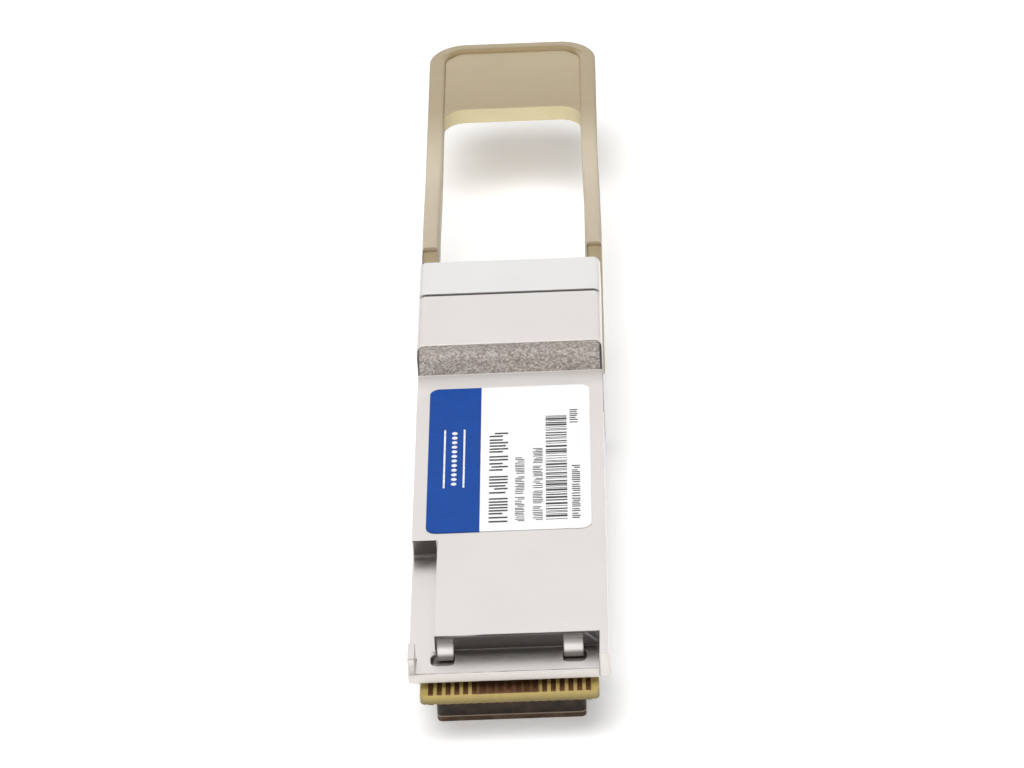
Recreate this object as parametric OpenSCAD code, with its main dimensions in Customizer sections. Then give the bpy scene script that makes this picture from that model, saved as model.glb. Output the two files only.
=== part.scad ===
// Pluggable four-lane optical transceiver with a multi-fibre port and a pull tab.
// +Y runs from the card edge to the pull tab and +Z points out of the label side.
// The origin is the middle of the footprint, on the surface that it stands on.

/* [Body] */
// Length from the card edge to the end of the pull tab
overall_len = 124; // [122:0.5:128]
// Width of the body that slides into the cage
body_w = 18.35; // [18.25:0.05:18.45]
// Height from the heat-sink face to the label face
body_h = 8.5; // [8.4:0.05:8.6]
// How far the card edge stands out of the rear rim
board_out = 1.1; // [0.8:0.1:1.4]
// Length from the rear rim to the EMI gasket
gasket_at = 50.3; // [49.5:0.1:51]
// Depth of the EMI gasket along the body
gasket_len = 2; // [1.8:0.1:2.2]

/* [Label side] */
// Height of the label cover over the shelf around it
cover_step = 1.7; // [1.5:0.1:1.8]
// Length of the shelf behind the label cover
shelf_len = 3.85; // [3.6:0.05:4]
// Width of the polarity strip beside the label cover
strip_w = 2.4; // [2.2:0.1:2.5]
// Length of the polarity strip
strip_len = 20; // [19:0.5:21]
// Width of the label
label_w = 15.75; // [14:0.25:16]
// Length of the label
label_len = 26.2; // [24:0.2:27]

/* [Head] */
// Width of the head that stays outside the cage
head_w = 18.5; // [18.4:0.05:18.6]
// Length of the head
head_len = 16.7; // [16.5:0.1:17.5]
// Height of the head over the label face
head_over = 2.3; // [2.1:0.1:2.4]
// Depth of the head under the heat-sink face
head_under = 1.3; // [1.2:0.1:1.4]
// Length of the latch bridge across the head
bridge_len = 6.55; // [6:0.05:7]
// Radius of the head's long edges
head_r = 0.8; // [0.6:0.1:0.8]

/* [Optical port] */
// Width of the plug cavity
port_w = 12.6; // [12.5:0.1:12.6]
// Height of the plug cavity
port_h = 7.8; // [7.6:0.1:7.8]
// Radius of the ferrule's guide pins
guide_pin_r = 0.35; // [0.34:0.01:0.36]
// Radius of the groove round each guide pin
guide_pin_groove_r = 0.19; // [0.18:0.01:0.19]
// Distance between the guide pins
guide_pin_pitch = 4.6; // [4.5:0.1:4.7]

/* [Card edge] */
// Width of the card edge
board_w = 16.36; // [16.3:0.02:16.5]
// Thickness of the board
board_t = 1; // [0.9:0.05:1.05]
// Contact pads on each face
pad_count = 19; // [19]
// Distance between contact pads
pad_pitch = 0.8; // [0.8]

/* [Pull tab] */
// Width over the arms at the head
tab_w = 18.8; // [18.6:0.05:18.8]
// Width over the grip
grip_w = 18.4; // [18:0.1:18.4]
// Width of one arm
arm_w = 1.75; // [1.6:0.05:1.8]
// Length of the grip plate
grip_len = 14.9; // [14:0.1:17]
// How far the tab pulls the latch
pull_travel = 1.8; // [1.5:0.1:2]

/* [Hidden] */
$fn = 48;
cut = 1; // overrun of a cutter past the face that it opens
fit = 0.05; // running clearance of the latch

// Stations along Y
rim_y = board_out - overall_len / 2;
corner_y = rim_y + 8.8; // the side walls start here, clear of the host connector
nose_y = rim_y + 2.3;
cover_y = rim_y + shelf_len;
step_y = rim_y + strip_len;
latch_y = rim_y + 34;
gasket_y = rim_y + gasket_at;
head_y = gasket_y + gasket_len;
front_y = head_y + head_len;
bridge_y = front_y - bridge_len;
recess_y = bridge_y - 0.35;
pocket_y = head_y + 4.9; // rear end of the spring windows and arm channels
seat_y = head_y + 4.4; // rear end of the receptacle's seat
tab_end_y = overall_len / 2;
tab_y = pocket_y + 0.6; // rear ends of the tab's arms
rise_y = [rim_y + 89, rim_y + 103];
draw_y = [rim_y + 86, rim_y + 102];
grip_y = tab_end_y - grip_len;

// Levels along Z
sink_z = head_under;
label_z = sink_z + body_h;
shelf_z = label_z - cover_step;
shelf_under_z = shelf_z - 0.9;
head_z = label_z + head_over;
floor_z = sink_z + 1.2;
board_z = sink_z + 4.3;
board_top_z = board_z + board_t;
port_z = 5.6; // axis of the optical port

// Half widths along X
body_x = body_w / 2;
head_x = head_w / 2;
bay_x = body_x - 0.875; // wide bay around the card
neck_bay_x = body_x - 1.575; // narrow bay between the latch channels
neck_x = body_x - 0.225; // body under the gasket
slide_x = body_x - 0.825; // inner face of the latch strips
slide_t = 0.5;
bridge_t = 0.9;
arm_x = tab_w / 2 - arm_w;
nose_x = 6.88;
seat_x = 6.75; // port receptacle
throat_x = 5; // way through the neck for the ribbon and the ferrule
strip_edge_x = strip_w - body_x;
ledge = 0.7;
narrow_x = neck_bay_x - 0.1; // half width of the board between the channels
narrow_y = latch_y - 9.4;

// Latch strip and arm heights
strip_z = [port_z - 0.6, port_z + 1.8];
arm_z = [port_z - 1, port_z + 2.2];
grip_z = [port_z + 1.6, port_z + 3.8];

// Return springs
spring_x = 8;
spring_z = 2.6;
spring_r = 0.85; // outer radius
wire_r = 0.13;
spring_turns = 9;
lug_y = pocket_y + 0.3;
lug_t = 0.9;
spring_y = lug_y + lug_t + 0.1;
spring_end_y = front_y - 3;

// Optical train
ferrule_y = [rim_y + 54.5, rim_y + 62.5];
ferrule_w = 6.4;
ferrule_h = 2.5;
lens_y = [rim_y + 39.5, rim_y + 44.3];
lens_top_z = board_top_z + 1.9;
ribbon_t = 0.3;
ribbon_w = 3.1;
boot_y = ferrule_y[0] - 2;
board_end_y = rim_y + 45;

// Screws
screw_x = 7.3;
screw_y = head_y + 2.2;
screw_r = 0.7;
screw_head_r = 1.25;

module block(x, y, z) {
    translate([x[0], y[0], z[0]])
        cube([x[1] - x[0], y[1] - y[0], z[1] - z[0]]);
}

// The same block on the left and on the right
module both_sides() {
    children();
    mirror([1, 0, 0]) children();
}

// Flat outline in X and Z, drawn out along Y
module along_y(y) {
    translate([0, y[1], 0]) rotate([90, 0, 0]) linear_extrude(y[1] - y[0]) children();
}

// Flat outline in X and Y, drawn out along Z
module along_z(z) {
    translate([0, 0, z[0]]) linear_extrude(z[1] - z[0]) children();
}

// Rectangle with true round corners
module round_rect(x, y, r) {
    translate([x[0] + r, y[0]]) square([x[1] - x[0] - 2 * r, y[1] - y[0]]);
    translate([x[0], y[0] + r]) square([x[1] - x[0], y[1] - y[0] - 2 * r]);
    for (px = [x[0] + r, x[1] - r], py = [y[0] + r, y[1] - r])
        translate([px, py]) circle(r);
}

module head_outline() {
    round_rect([-head_x, head_x], [0, head_z], head_r);
}

// Two pockets in the shelf that take the cover's hooks
module hook_pockets() {
    for (x = [-7.1, 4.95])
        along_z([shelf_z - 0.6, shelf_z + cut])
            round_rect([x, x + 2.15], [rim_y + 1.55, rim_y + 3.35], 0.6);
}

module spring_bores(r) {
    both_sides()
        translate([spring_x, lug_y, spring_z])
            rotate([-90, 0, 0]) cylinder(r = r, h = spring_end_y - lug_y);
}

module screw_holes(r, z) {
    both_sides()
        translate([screw_x, screw_y, z[0]]) cylinder(r = r, h = z[1] - z[0]);
}

// Die-cast heat-sink half with the rear shelf and the lower part of the head
module base_shell() {
    color("gainsboro") difference() {
        union() {
            block([-body_x, body_x], [corner_y, gasket_y], [sink_z, shelf_z]);
            block([-body_x, body_x], [rim_y, corner_y], [shelf_under_z, shelf_z]);
            block([-body_x, 0.65 - body_x], [rim_y + 0.1, rim_y + 2.9], [shelf_z, label_z]);
            along_z([sink_z, sink_z + 2.7])
                round_rect([-nose_x, nose_x], [nose_y, corner_y + 3], 0.5);
            block([-neck_x, neck_x], [gasket_y, head_y], [sink_z + 0.05, shelf_z]);
            along_y([head_y, front_y]) intersection() {
                head_outline();
                translate([-head_x, 0]) square([head_w, shelf_z]);
            }
        }
        // Room for the right rear corner of the cover
        block([bay_x - fit, body_x + cut], [rim_y - cut, cover_y + fit], [0, label_z + cut]);
        hook_pockets();
        // Bays over and under the board
        block([-bay_x, bay_x], [cover_y + 1.6, latch_y - 1], [board_z, shelf_under_z]);
        block([strip_edge_x + 0.9, bay_x], [cover_y + 1.6, step_y + 2], [board_z, shelf_z + cut]);
        block([-bay_x, bay_x], [step_y + 1, latch_y - 1], [board_z, shelf_z + cut]);
        block([ledge - bay_x, bay_x - ledge], [corner_y + 1.2, latch_y - 1], [floor_z, board_z + cut]);
        block([-neck_bay_x, neck_bay_x], [latch_y - 1 - cut, gasket_y - 1], [board_z, shelf_z + cut]);
        block([ledge - neck_bay_x, neck_bay_x - ledge], [latch_y - 1 - cut, gasket_y - 1], [floor_z, board_z + cut]);
        block([-throat_x, throat_x], [gasket_y - 1 - cut, seat_y + cut], [floor_z, shelf_z + cut]);
        // Slot for the card edge
        block([-bay_x, bay_x], [rim_y + 4, corner_y + 2], [board_z, shelf_under_z]);
        // Channels for the latch strips and the arms of the tab
        both_sides() {
            block([slide_x - fit, body_x + cut], [latch_y, head_y + cut], [strip_z[0] - fit, strip_z[1] + fit]);
            block([slide_x - fit, head_x + cut], [head_y, pocket_y + cut], [strip_z[0] - fit, strip_z[1] + fit]);
            block([arm_x - 0.1, head_x + cut], [pocket_y, front_y + cut], [arm_z[0] - 0.2, shelf_z + cut]);
            block([spring_x - 0.95, head_x + cut], [pocket_y, pocket_y + 4], [spring_z - 0.95, arm_z[0]]);
        }
        spring_bores(0.95);
        // Seat of the port receptacle
        block([-seat_x, seat_x], [seat_y, front_y + cut], [port_z - 4.6, shelf_z + cut]);
        screw_holes(screw_r + fit, [-cut, shelf_z + cut]);
        screw_holes(screw_head_r + 0.1, [-cut, 1.1]);
    }
    // Raised seats for the thermal pads
    color("gainsboro")
        for (x = [-3.6, 3.6])
            block([x - 2.6, x + 2.6], [rim_y + 16.4, rim_y + 22.6], [floor_z, board_z - 1.5]);
}

// Die-cast label half, hooked under the rear shelf, with the upper part of the head
module label_cover() {
    color("whitesmoke") difference() {
        union() {
            block([strip_edge_x, body_x], [cover_y, step_y + cut], [shelf_z, label_z]);
            block([-body_x, body_x], [step_y, gasket_y], [shelf_z, label_z]);
            block([-neck_x, neck_x], [gasket_y, head_y], [shelf_z, label_z - 0.05]);
            block([bay_x, body_x], [rim_y + 0.05, cover_y + cut], [shelf_z, label_z]);
            block([bay_x, body_x], [rim_y + 0.05, cover_y], [shelf_under_z, label_z]);
            along_y([head_y, recess_y]) intersection() {
                head_outline();
                translate([-head_x, shelf_z]) square([head_w, head_z]);
            }
            along_y([recess_y, front_y]) intersection() {
                round_rect([fit - slide_x + 0.05, slide_x - 0.05 - fit], [0, head_z - bridge_t - fit], 0.4);
                translate([-head_x, shelf_z]) square([head_w, head_z]);
            }
            hooks();
        }
        // Hollow under the plate
        block([strip_edge_x + 1, bay_x - 0.3], [cover_y + 1, step_y + 2], [shelf_z - cut, label_z - 1]);
        block([0.3 - bay_x, bay_x - 0.3], [step_y + 1, latch_y - 1], [shelf_z - cut, label_z - 1]);
        block([0.3 - neck_bay_x, neck_bay_x - 0.3], [latch_y - 1 - cut, gasket_y - 1], [shelf_z - cut, label_z - 1]);
        block([-throat_x, throat_x], [gasket_y - 1 - cut, seat_y + cut], [shelf_z - cut, label_z - 1]);
        // Seat of the port receptacle
        block([-seat_x, seat_x], [seat_y, front_y + cut], [shelf_z - cut, port_z + 4.6]);
        screw_holes(screw_r + fit, [shelf_z - cut, shelf_z + 2.6]);
    }
}

// Hooks that come down from the cover's rear edge in a hollow ramp and a rounded lip
module hooks() {
    tip_y = rim_y + 2.9;
    ramp = [
        [0, 1.45], [0.1, 1.43], [0.22, 1.25], [0.32, 1.05], [0.44, 0.88], [0.58, 0.76], [0.72, 0.68],
        [0.8, 0.6], [0.87, 0.48], [0.92, 0.34], [0.95, 0.15]
    ];
    for (x = [[-6.55, -5.05], [5.05, 6.85]])
        translate([x[0], 0, 0]) rotate([90, 0, 90]) linear_extrude(x[1] - x[0]) polygon(concat(
            [[cover_y + cut, shelf_z], [cover_y + cut, shelf_z + ramp[0][1]]],
            [for (p = ramp) [cover_y - p[0], shelf_z + p[1]]],
            [[tip_y, shelf_z - 0.5], [tip_y + 0.35, shelf_z - 0.5], [tip_y + 0.35, shelf_z]]
        ));
}

// Conductive gasket wrapped round the body behind the head
module emi_gasket() {
    color("darkgray") along_y([gasket_y + 0.02, head_y - 0.02]) difference() {
        round_rect([-9.2, 9.2], [0.1, head_z - 0.05], head_r);
        translate([-neck_x, sink_z + 0.05]) square([2 * neck_x, body_h - 0.1]);
    }
}

module label() {
    color("white") along_z([label_z, label_z + 0.1])
        round_rect([-label_w / 2, label_w / 2], [rim_y + 21.2, rim_y + 21.2 + label_len], 1);
}

// Screws from the heat-sink side that hold the halves together
module housing_screws() {
    color("silver") both_sides() translate([screw_x, screw_y, 0]) difference() {
        union() {
            translate([0, 0, 0.15]) cylinder(r = screw_head_r, h = 0.95);
            translate([0, 0, 1]) cylinder(r = screw_r, h = shelf_z + 1.4);
        }
        translate([0, 0, 0.1]) cylinder(r = 0.5, h = 0.6, $fn = 6);
    }
}

// Steel slide: a bridge over the head and a latch strip along each side
module latch_slider() {
    color("white") difference() {
        union() {
            along_y([bridge_y, front_y]) difference() {
                head_outline();
                translate([-slide_x, -cut])
                    square([2 * slide_x, head_z - bridge_t + cut]);
                translate([-head_x - cut, -cut]) square([head_w + 2 * cut, shelf_z + fit + cut]);
            }
            both_sides() {
                block([slide_x, slide_x + slide_t], [bridge_y, front_y - 1], [strip_z[0], shelf_z + 0.6]);
                block([slide_x, slide_x + slide_t], [latch_y + 0.6, bridge_y + cut], strip_z);
                block([slide_x, slide_x + slide_t], [lug_y, lug_y + lug_t], [spring_z - 0.8, strip_z[0] + 0.5]);
                block([spring_x - 0.85, slide_x + slide_t], [lug_y, lug_y + lug_t], [spring_z - 0.8, spring_z + 0.8]);
            }
        }
        // Bevelled tips that spread the cage's latch fingers
        both_sides()
            translate([slide_x + slide_t, latch_y + 0.6, 0])
                rotate([0, 0, 30]) translate([-0.6, -1.1, 0]) cube([1.6, 1, label_z]);
    }
}

// Smooth step from 0 to 1 between two stations
function ease(y, span) =
    let (t = max(0, min(1, (y - span[0]) / (span[1] - span[0])))) (1 - cos(180 * t)) / 2;

// Side view of the tab in Y and Z: arms, a smooth rise, and the thinner grip
module tab_profile() {
    steps = 15;
    function level(y, k) = arm_z[k] + (grip_z[k] - arm_z[k]) * ease(y, rise_y);
    rise = [for (i = [0:steps]) rise_y[0] + (rise_y[1] - rise_y[0]) * i / steps];
    polygon(concat(
        [[tab_y, arm_z[0]]], [for (y = rise) [y, level(y, 0)]],
        [[tab_end_y - 0.5, grip_z[0]], [tab_end_y, grip_z[0] + 0.5]],
        [[tab_end_y, grip_z[1] - 0.5], [tab_end_y - 0.5, grip_z[1]]],
        [for (i = [steps:-1:0]) [rise[i], level(rise[i], 1)]], [[tab_y, arm_z[1]]]
    ));
}

// Plan of the tab: two arms that draw in towards a round-cornered grip.
// It reaches behind the arms' ends, where the side view cuts it off.
module tab_plan() {
    steps = 10;
    behind_y = tab_y - 10;
    inner = grip_w / 2 - arm_w;
    corner_r = 4.1;
    root_r = 2.4;
    function half(y) = tab_w / 2 + (grip_w - tab_w) / 2 * ease(y, draw_y);
    draw = [for (i = [0:steps]) draw_y[0] + (draw_y[1] - draw_y[0]) * i / steps];
    outer = concat([[tab_w / 2, tab_y - 1]], [for (y = draw) [half(y), y]]);
    // The curve on one side and the same curve on the other, inwards by a given amount
    function band(inset) = concat(
        [for (p = outer) [p[0] - inset, p[1]]],
        [for (i = [len(outer) - 1:-1:0]) [inset - outer[i][0], outer[i][1]]]);
    difference() {
        union() {
            round_rect([-grip_w / 2, grip_w / 2], [behind_y, tab_end_y], corner_r);
            polygon(band(0));
        }
        round_rect([-inner, inner], [behind_y - 1, grip_y], root_r);
        polygon(band(arm_w));
    }
}

// Moulded pull tab, closed round the ends of the latch strips
module pull_tab() {
    color("wheat") difference() {
        intersection() {
            along_z([arm_z[0] - cut, grip_z[1] + cut]) tab_plan();
            translate([-head_w, 0, 0]) rotate([90, 0, 90]) linear_extrude(2 * head_w) tab_profile();
        }
        // Recessed panel of the grip
        along_z([grip_z[1] - 0.4, grip_z[1] + cut])
            round_rect([1.7 - grip_w / 2, grip_w / 2 - 1.7], [grip_y - 3, tab_end_y - 1.5], 1.6);
        both_sides() {
            // Pocket on top of each arm, just in front of the head
            block([arm_x + 0.15, tab_w / 2 - 0.15], [front_y + 0.7, front_y + 10.7], [arm_z[1] - 0.6, label_z]);
            // Slot that holds the latch strip
            block([slide_x, slide_x + slide_t], [pocket_y - cut, front_y - 1], [strip_z[0], strip_z[1]]);
            block([slide_x, slide_x + slide_t], [bridge_y, front_y - 1], [strip_z[0], label_z]);
            block([slide_x, slide_x + slide_t], [lug_y, lug_y + lug_t], [0, strip_z[1]]);
        }
    }
}

// Round wire wound into a coil, as one closed surface
module coil(length, r, wire, turns) {
    sides = 8;
    steps = 14 * turns;
    function ring(i) = let (a = 360 * turns * i / steps, y = wire + (length - 2 * wire) * i / steps)
        [for (k = [0:sides - 1]) let (b = 360 * k / sides, d = r - wire + wire * cos(b))
            [d * cos(a), y + wire * sin(b), d * sin(a)]];
    points = [for (i = [0:steps]) each ring(i)];
    walls = [for (i = [0:steps - 1], k = [0:sides - 1])
        let (a = i * sides + k, b = i * sides + (k + 1) % sides) [b, a, a + sides, b + sides]];
    ends = [[for (k = [0:sides - 1]) k], [for (k = [0:sides - 1]) (steps + 1) * sides - 1 - k]];
    polyhedron(points, concat(walls, ends));
}

module return_spring() {
    color("silver") translate([spring_x, spring_y, spring_z])
        coil(spring_end_y - spring_y, spring_r, wire_r, spring_turns);
}

module return_spring_left() {
    mirror([1, 0, 0]) return_spring();
}

module return_spring_right() {
    return_spring();
}

// Printed circuit board: a wide card edge and a narrow tail between the channels
module main_board() {
    edge = board_w / 2;
    tip = 0.3;
    color("olive") along_z([board_z, board_top_z]) polygon([
        [tip - edge, -overall_len / 2], [edge - tip, -overall_len / 2],
        [edge, -overall_len / 2 + tip], [edge, narrow_y], [narrow_x, narrow_y + 1],
        [narrow_x, board_end_y], [-narrow_x, board_end_y],
        [-narrow_x, narrow_y + 1], [-edge, narrow_y], [-edge, -overall_len / 2 + tip]
    ]);
}

module pad_row(z) {
    pad_w = 0.46;
    for (i = [0:pad_count - 1])
        let (x = (i - (pad_count - 1) / 2) * pad_pitch)
            block([x - pad_w / 2, x + pad_w / 2], [0.03 - overall_len / 2, rim_y + 2.2], z);
}

module contact_pads_top() {
    color("goldenrod") pad_row([board_top_z, board_top_z + 0.05]);
}

module contact_pads_bottom() {
    color("goldenrod") pad_row([board_z - 0.05, board_z]);
}

// Chip centred on x, y with its foot on one face of the board
module chip(x, y, w, len, z) {
    block([x - w / 2, x + w / 2], [rim_y + y - len / 2, rim_y + y + len / 2], z);
}

module transmit_retimer() {
    color("dimgray") chip(-3.6, 19.5, 5, 6, [board_z - 1, board_z]);
}

module receive_retimer() {
    color("dimgray") chip(3.6, 19.5, 5, 6, [board_z - 1, board_z]);
}

module thermal_pads() {
    color("lightsteelblue")
        for (x = [-3.6, 3.6]) chip(x, 19.5, 4.8, 5.8, [board_z - 1.5, board_z - 1]);
}

module laser_driver() {
    color("dimgray") chip(-2, 36.6, 2.6, 3, [board_top_z, board_top_z + 0.6]);
}

module receiver_amplifier() {
    color("dimgray") chip(2, 36.6, 2.6, 3, [board_top_z, board_top_z + 0.6]);
}

module microcontroller() {
    color("dimgray") chip(0, 28, 5, 5, [board_top_z, board_top_z + 0.9]);
}

module voltage_regulator() {
    color("dimgray") chip(-4.2, 14, 2, 3, [board_top_z, board_top_z + 0.9]);
}

module power_inductors() {
    color("darkslategray")
        for (y = [17.5, 21]) chip(-4.2, y, 2.5, 2.5, [board_top_z, board_top_z + 1.2]);
}

// Rows of small ceramic capacitors beside the controller and the retimers
module capacitors() {
    cap = [0.6, 1, 0.5];
    color("tan") {
        for (i = [0:7]) chip(5.9, 12 + 1.5 * i, cap.x, cap.y, [board_top_z, board_top_z + cap.z]);
        for (i = [0:7]) chip(-0.3 + 0.6 * (i - 3) * 1.5, 11, cap.x, cap.y, [board_z - cap.z, board_z]);
    }
}

module laser_array() {
    color("gold") chip(-1.4, 41.6, 1.1, 0.4, [board_top_z, board_top_z + 0.15]);
}

module photodiode_array() {
    color("gold") chip(1.4, 41.6, 1.1, 0.4, [board_top_z, board_top_z + 0.15]);
}

// Moulded lens block that turns the light into the fibres
module lens_block() {
    ribbon_z = lens_top_z - 0.9;
    color("khaki") difference() {
        block([-3.4, 3.4], lens_y, [board_top_z, lens_top_z]);
        block([-2.6, 2.6], [lens_y[0] + 0.8, lens_y[1] - 1.2], [board_top_z - cut, board_top_z + 0.5]);
        translate([0, lens_y[0] + 1.4, lens_top_z]) rotate([45, 0, 0]) cube([5.2, 1.2, 1.2], center = true);
        block([-ribbon_w / 2, ribbon_w / 2], [lens_y[1] - 1, lens_y[1] + cut], [ribbon_z, ribbon_z + ribbon_t]);
    }
}

// Flat ribbon of fibres on a smooth S from the lens block down to the ferrule
module fibre_ribbon() {
    steps = 14;
    start = [lens_y[1] - 1, lens_top_z - 0.9];
    leave_y = lens_y[1];
    end = [boot_y, port_z - ribbon_t / 2];
    function route(t) = [leave_y + (end.x - leave_y) * t, start.y + (end.y - start.y) * (1 - cos(180 * t)) / 2];
    low = [for (i = [0:steps]) route(i / steps)];
    tail_y = ferrule_y[0] + 2;
    lower = concat([start], low, [[tail_y, end.y]]);
    upper = [for (i = [len(lower) - 1:-1:0]) lower[i] + [0, ribbon_t]];
    color("aquamarine") translate([-ribbon_w / 2, 0, 0])
        rotate([90, 0, 90]) linear_extrude(ribbon_w) polygon(concat(lower, upper));
}

module ribbon_slot(y) {
    block([-ribbon_w / 2, ribbon_w / 2], y, [port_z - ribbon_t / 2, port_z + ribbon_t / 2]);
}

// Rubber boot where the ribbon enters the ferrule
module ferrule_boot() {
    color("black") difference() {
        block([-1.9, 1.9], [boot_y, ferrule_y[0] + 1.5], [port_z - 0.6, port_z + 0.6]);
        ribbon_slot([boot_y - cut, ferrule_y[0] + 2]);
    }
}

module guide_pin_shape(r, y) {
    for (side = [-1, 1])
        translate([side * guide_pin_pitch / 2, y[0], port_z])
            rotate([-90, 0, 0]) cylinder(r = r, h = y[1] - y[0]);
}

// Clip behind the ferrule that holds the guide pins
module pin_keeper() {
    color("silver") difference() {
        block([-ferrule_w / 2, ferrule_w / 2], [ferrule_y[0] - 1.2, ferrule_y[0]],
            [port_z - ferrule_h / 2, port_z + ferrule_h / 2]);
        block([-2 + fit, 2 - fit], [ferrule_y[0] - 2, ferrule_y[0] + cut], [port_z - 0.65, port_z + 0.65]);
        guide_pin_shape(guide_pin_r + 0.01, [ferrule_y[0] - 1, ferrule_y[0] + cut]);
    }
}

// Multi-fibre ferrule with its two guide bores
module ferrule() {
    color("dimgray") difference() {
        union() {
            block([-ferrule_w / 2, ferrule_w / 2], ferrule_y, [port_z - ferrule_h / 2, port_z + ferrule_h / 2]);
            block([-3.6, 3.6], [ferrule_y[0], ferrule_y[0] + 2.4], [port_z - 1.5, port_z + 1.5]);
        }
        block([-2, 2], [ferrule_y[0] - cut, ferrule_y[0] + 2.2], [port_z - 0.65, port_z + 0.65]);
        guide_pin_shape(guide_pin_r + 0.01, [ferrule_y[0] - cut, ferrule_y[1] + cut]);
    }
}

// Pins with a relief groove behind the ferrule's face and a tapered nose
module guide_pins() {
    groove_y = [ferrule_y[1] - 0.6, ferrule_y[1]];
    color("silver") {
        guide_pin_shape(guide_pin_r, [ferrule_y[0] - 0.9, groove_y[0]]);
        guide_pin_shape(guide_pin_groove_r, groove_y);
        guide_pin_shape(guide_pin_r, [ferrule_y[1], ferrule_y[1] + 1.5]);
        for (side = [-1, 1])
            translate([side * guide_pin_pitch / 2, ferrule_y[1] + 1.5, port_z])
                rotate([-90, 0, 0]) cylinder(r1 = guide_pin_r, r2 = 0.18, h = 0.4);
    }
}

// Plug cavity with its keyway and the two hooks that hold the plug
module port_receptacle() {
    wall_y = [ferrule_y[0] + 2.4, ferrule_y[0] + 6];
    color("dimgray") difference() {
        union() {
            difference() {
                block([-seat_x, seat_x], [wall_y[0], front_y - 0.3], [port_z - 4.6, port_z + 4.6]);
                block([-port_w / 2, port_w / 2], [wall_y[1], front_y + cut],
                    [port_z - port_h / 2, port_z + port_h / 2]);
            }
            both_sides() {
                block([5.2, 5.9], [wall_y[1] - cut, front_y - 3], [port_z - 1.5, port_z + 1.5]);
                block([4.8, 5.3], [front_y - 3.7, front_y - 3], [port_z - 1.5, port_z + 1.5]);
            }
        }
        block([-1.5, 1.5], [wall_y[1], front_y + cut], [port_z, port_z + port_h / 2 + 0.45]);
        block([-3.3, 3.3], [wall_y[0] - cut, wall_y[1] + cut], [port_z - 1.35, port_z + 1.35]);
    }
}

base_shell();
label_cover();
emi_gasket();
label();
housing_screws();
latch_slider();
pull_tab();
return_spring_left();
return_spring_right();
main_board();
contact_pads_top();
contact_pads_bottom();
transmit_retimer();
receive_retimer();
thermal_pads();
laser_driver();
receiver_amplifier();
microcontroller();
voltage_regulator();
power_inductors();
capacitors();
laser_array();
photodiode_array();
lens_block();
fibre_ribbon();
ferrule_boot();
pin_keeper();
ferrule();
guide_pins();
port_receptacle();
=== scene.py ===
"""Finish and studio for a pluggable optical transceiver, laid out as an add-on and run as a script."""

import random
from math import cos, pi, radians, sin

import bmesh
import bpy
from mathutils import Matrix, Vector


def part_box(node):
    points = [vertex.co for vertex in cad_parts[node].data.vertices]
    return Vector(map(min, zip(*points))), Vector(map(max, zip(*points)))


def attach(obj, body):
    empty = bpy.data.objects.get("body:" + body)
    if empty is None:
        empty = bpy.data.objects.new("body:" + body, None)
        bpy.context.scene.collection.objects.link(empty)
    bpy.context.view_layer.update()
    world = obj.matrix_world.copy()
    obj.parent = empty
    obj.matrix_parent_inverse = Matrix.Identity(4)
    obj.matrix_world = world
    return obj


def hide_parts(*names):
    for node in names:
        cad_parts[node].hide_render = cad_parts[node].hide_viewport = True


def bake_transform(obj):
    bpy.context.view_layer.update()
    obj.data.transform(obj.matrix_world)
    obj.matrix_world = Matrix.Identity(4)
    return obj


bl_info = {
    "name": "Pluggable optical transceiver",
    "version": (1, 0, 0),
    "blender": (4, 5, 0),
    "location": "3D View > Sidebar > Transceiver",
    "description": "Finishes the castings, gasket, label, card edge, port and pull tab of a transceiver",
    "category": "Object",
}

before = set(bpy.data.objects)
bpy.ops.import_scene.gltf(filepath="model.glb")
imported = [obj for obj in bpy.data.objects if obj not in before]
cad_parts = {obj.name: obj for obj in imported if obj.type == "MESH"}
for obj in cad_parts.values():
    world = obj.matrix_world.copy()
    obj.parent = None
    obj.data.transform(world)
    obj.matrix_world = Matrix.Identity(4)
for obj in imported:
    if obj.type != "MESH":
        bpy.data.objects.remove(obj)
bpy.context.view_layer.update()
HOUSING = "housing"
PULLER = "puller"
MM = 0.001
BEYOND = 1.0  # a station past either end of the module

# Distances between parts of the castings
RIM_TO_COVER = 3.85 * MM  # rear rim to the cover's front wall
COVER_TO_STEP = 16.15 * MM  # from that wall to the end of the polarity notch
BOARD_TO_SHELF = 2.5 * MM  # the board's underside up to the shelf
BOARD_TO_SOLE = 4.3 * MM  # the board's underside down to the sole of the nose
RIM_TO_NOSE = 2.3 * MM
SOLE_HEIGHT = 1.3 * MM  # how much higher the nose's sole lies than the head's

# Sizes of the pull tab
ARM_WIDTH = 1.75 * MM
ARM_HEIGHT = 3.2 * MM
GRIP_LENGTH = 14.9 * MM
GRIP_HEIGHT = 2.2 * MM
GRIP_NARROWING = 0.2 * MM  # how far the grip's sides lie inside the arms'
GRIP_CORNER = 4.1 * MM
PANEL_RECESS = 0.4 * MM
ROOT_FILLET = 2.4 * MM
POCKET = (0.6 * MM, 10.7 * MM)  # start and end of the arms' pockets, from the head
POCKET_DEPTH = 0.55 * MM


def node_box(node):
    """Lowest and highest corners of a CAD node, as vectors in metres."""
    low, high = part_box(node)
    return Vector(low), Vector(high)


# ---------------------------------------------------------------- sizes and colours


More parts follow.
